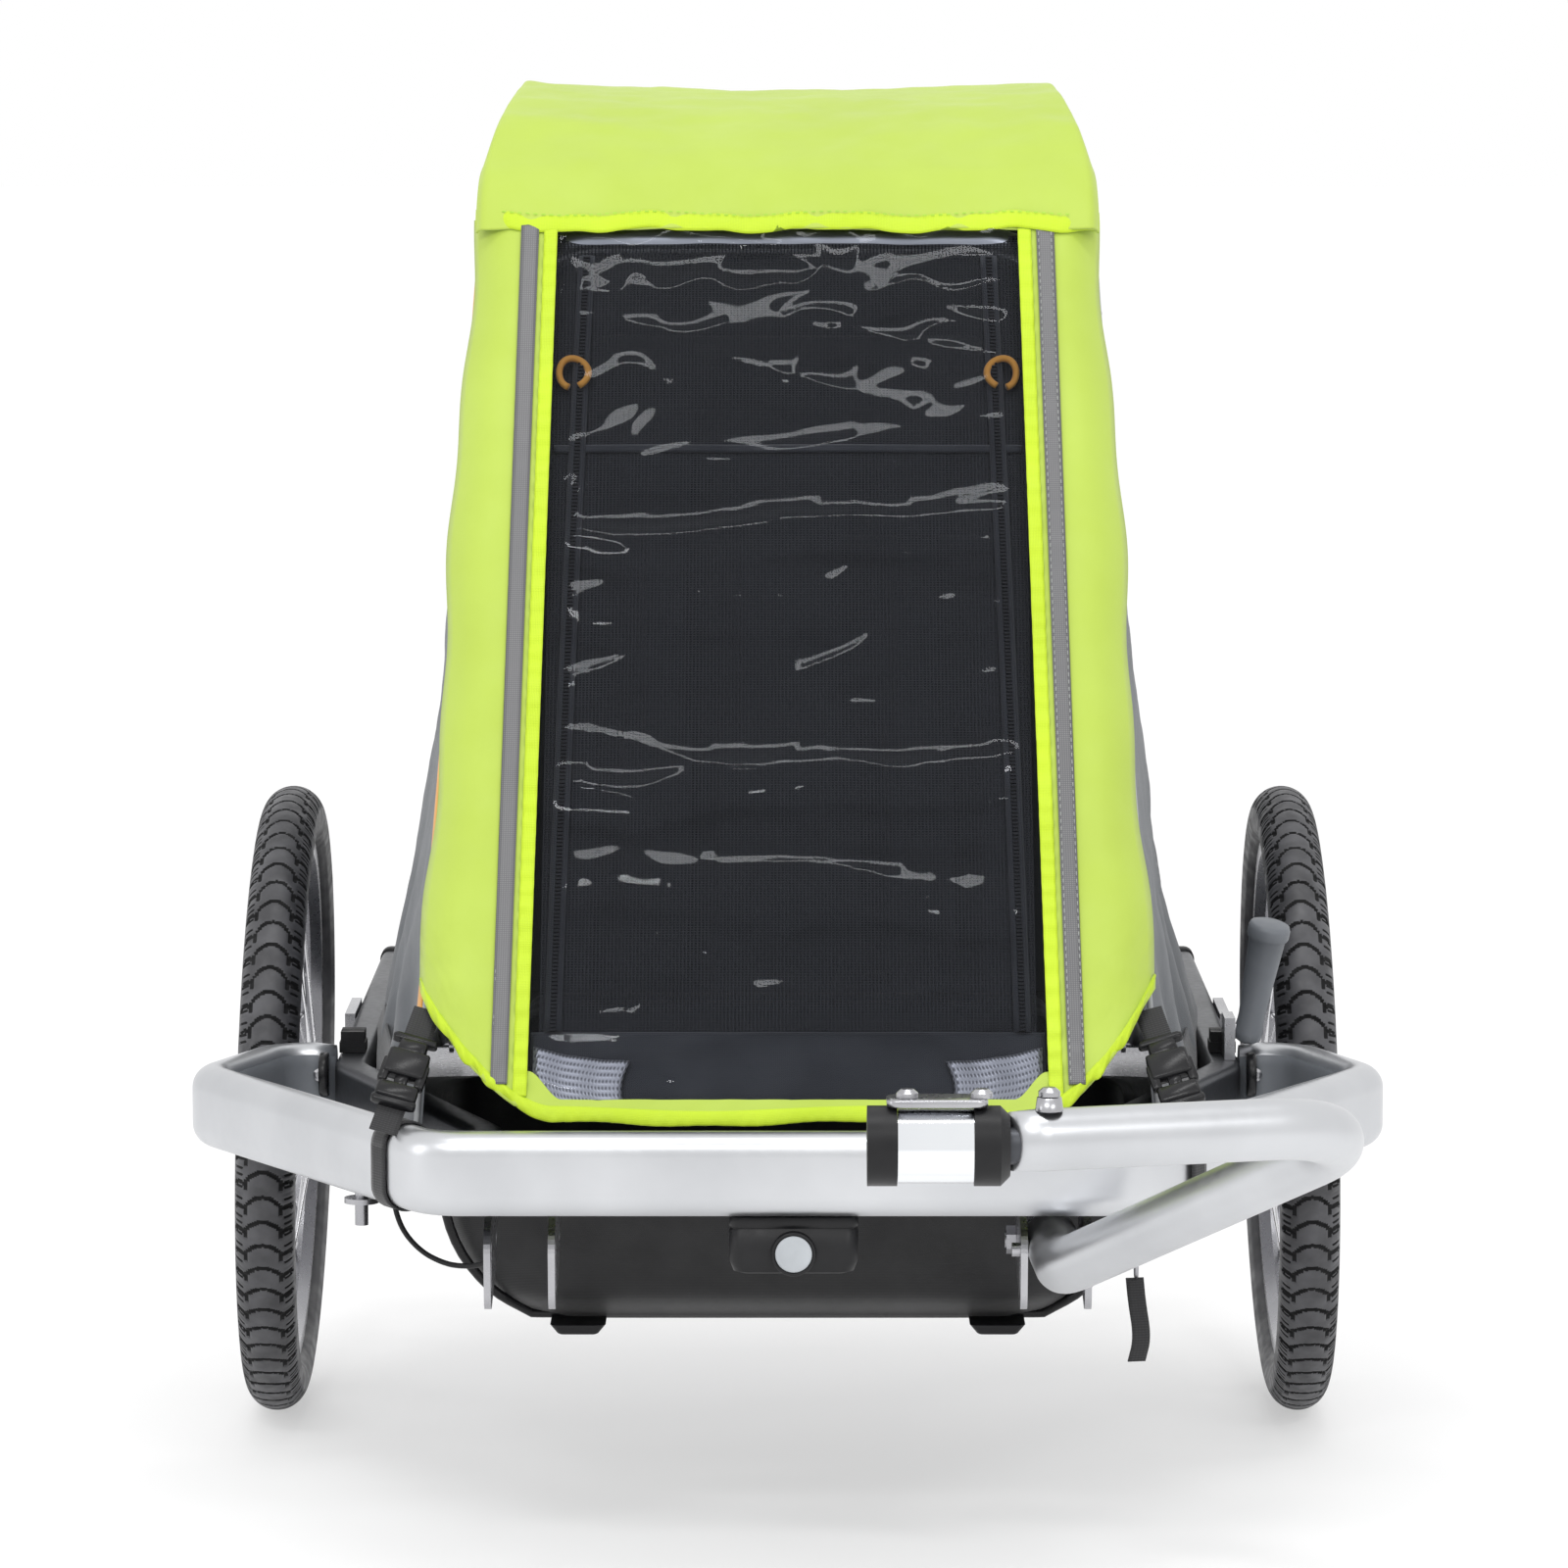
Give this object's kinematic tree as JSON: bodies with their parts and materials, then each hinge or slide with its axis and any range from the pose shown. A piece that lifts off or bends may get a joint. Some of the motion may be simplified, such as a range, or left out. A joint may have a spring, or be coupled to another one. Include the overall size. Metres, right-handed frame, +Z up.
{
  "type": "child bicycle trailer",
  "caption": "Two-wheeled child bicycle trailer with a side drawbar and hitch, tube frame with folding hoops, fabric body with a clear front window, and a push bar.",
  "frame": {"origin": "on the ground at the centre of the trailer's length and width", "axes": "+Z up, -Y towards the hitch, +X towards the side that carries the drawbar"},
  "size_m": [0.8874, 1.6204, 1.058],
  "materials": {
    "frame": "satin",
    "steel": "satin",
    "chrome": "polished",
    "alloy": "satin",
    "black_plastic": "matte",
    "grey_plastic": "matte",
    "tyre": "matte",
    "foam": "matte",
    "black_fabric": "woven",
    "webbing": "woven",
    "lime_fabric": "coated woven",
    "clear_vinyl": "clear, glossy",
    "mesh": "woven net",
    "grey_fabric": "woven"
  },
  "bodies": {
    "chassis": {"bumper": "frame", "bumper_bolts": "steel", "side_rail_left": "frame", "side_rail_right": "frame", "front_crossbar": "frame", "rear_crossbar": "frame", "axle_tube": "frame", "axle_plates": "steel", "axle_pins": "steel", "rail_clips": "black_plastic", "rail_studs": "steel", "retaining_wire": "black_plastic", "floor_tub": "black_fabric", "floor_feet": "black_plastic", "seat_board": "black_plastic", "jogger_socket": "black_plastic", "hook_plates_left": "steel", "hook_plates_right": "steel", "pivot_bolt": "steel", "hinge_bosses": "black_plastic", "hinge_pins": "steel", "brake_bracket": "steel", "brake_cable": "black_plastic", "cover_straps": "webbing", "strap_buckles": "black_plastic", "rain_cover": "lime_fabric", "clear_window": "clear_vinyl", "mesh_screen": "mesh", "side_panel_left": "grey_fabric", "side_panel_right": "grey_fabric", "rear_panel": "grey_fabric", "luggage_bag": "black_fabric", "seat_base": "grey_fabric", "seat_back": "grey_fabric"},
    "left_wheel": {"left_tyre": "tyre", "left_rim": "alloy", "left_spokes": "steel", "left_hub": "alloy", "left_valve": "black_plastic"},
    "right_wheel": {"right_tyre": "tyre", "right_rim": "alloy", "right_spokes": "steel", "right_hub": "alloy", "right_valve": "black_plastic"},
    "brake_lever": {"brake_lever": "grey_plastic"},
    "socket_button": {"socket_button": "grey_plastic"},
    "drawbar": {"drawbar": "frame", "hitch_yoke": "steel", "hitch_core": "steel", "hitch_caps": "black_plastic", "hitch_bolts": "steel"},
    "lock_pin": {"lock_pin": "steel", "lock_ring": "steel"},
    "hitch_sleeve": {"hitch_sleeve": "chrome"},
    "front_hoop": {"front_hoop": "frame"},
    "rear_hoop": {"rear_hoop": "frame", "push_brackets": "black_plastic", "push_pins": "steel"},
    "push_bar": {"push_bar": "frame", "push_grip": "foam"}
  },
  "joints": [
    {"name": "left_wheel_spin", "type": "hinge", "parent": "chassis", "child": "left_wheel", "pos_m": [-0.401, 0.36525, 0.24992], "axis": [0.9997, 0, -0.0262], "continuous": true},
    {"name": "right_wheel_spin", "type": "hinge", "parent": "chassis", "child": "right_wheel", "pos_m": [0.401, 0.36525, 0.24992], "axis": [0.9997, 0, 0.0262], "continuous": true},
    {"name": "front_hoop_fold", "type": "hinge", "parent": "chassis", "child": "front_hoop", "pos_m": [0, 0.30525, 0.304], "axis": [1, 0, 0], "range_deg": [0, 70], "deforming": ["rain_cover", "clear_window", "mesh_screen", "side_panel_left", "side_panel_right", "rear_panel"]},
    {"name": "rear_hoop_fold", "type": "hinge", "parent": "chassis", "child": "rear_hoop", "pos_m": [0, 0.46525, 0.304], "axis": [1, 0, 0], "range_deg": [0, 80]},
    {"name": "push_bar_swing", "type": "hinge", "parent": "rear_hoop", "child": "push_bar", "pos_m": [0, 0.47338, 0.8], "axis": [1, 0, 0], "range_deg": [-30, 25]},
    {"name": "drawbar_swing", "type": "hinge", "parent": "chassis", "child": "drawbar", "pos_m": [0.192, -0.13475, 0.2241], "axis": [1, 0, 0], "range_deg": [0, 20]},
    {"name": "lock_pin_pull", "type": "slide", "parent": "drawbar", "child": "lock_pin", "axis": [1, 0, 0], "range_m": [0, 0.03]},
    {"name": "hitch_sleeve_slide", "type": "slide", "parent": "drawbar", "child": "hitch_sleeve", "axis": [1, 0, 0], "range_m": [0, 0.006], "stiffness_N_per_m": 1500, "springref_m": -0.004},
    {"name": "socket_button_press", "type": "slide", "parent": "chassis", "child": "socket_button", "axis": [0, 1, 0], "range_m": [0, 0.004], "stiffness_N_per_m": 600, "springref_m": -0.004},
    {"name": "brake_lever_throw", "type": "hinge", "parent": "chassis", "child": "brake_lever", "pos_m": [0.35, 0.08325, 0.348], "axis": [1, 0, 0], "range_deg": [0, 50]}
  ],
  "couplings": [
    {"joint": "rear_hoop_fold", "follows": "front_hoop_fold", "ratio": 1.1429}
  ]
}
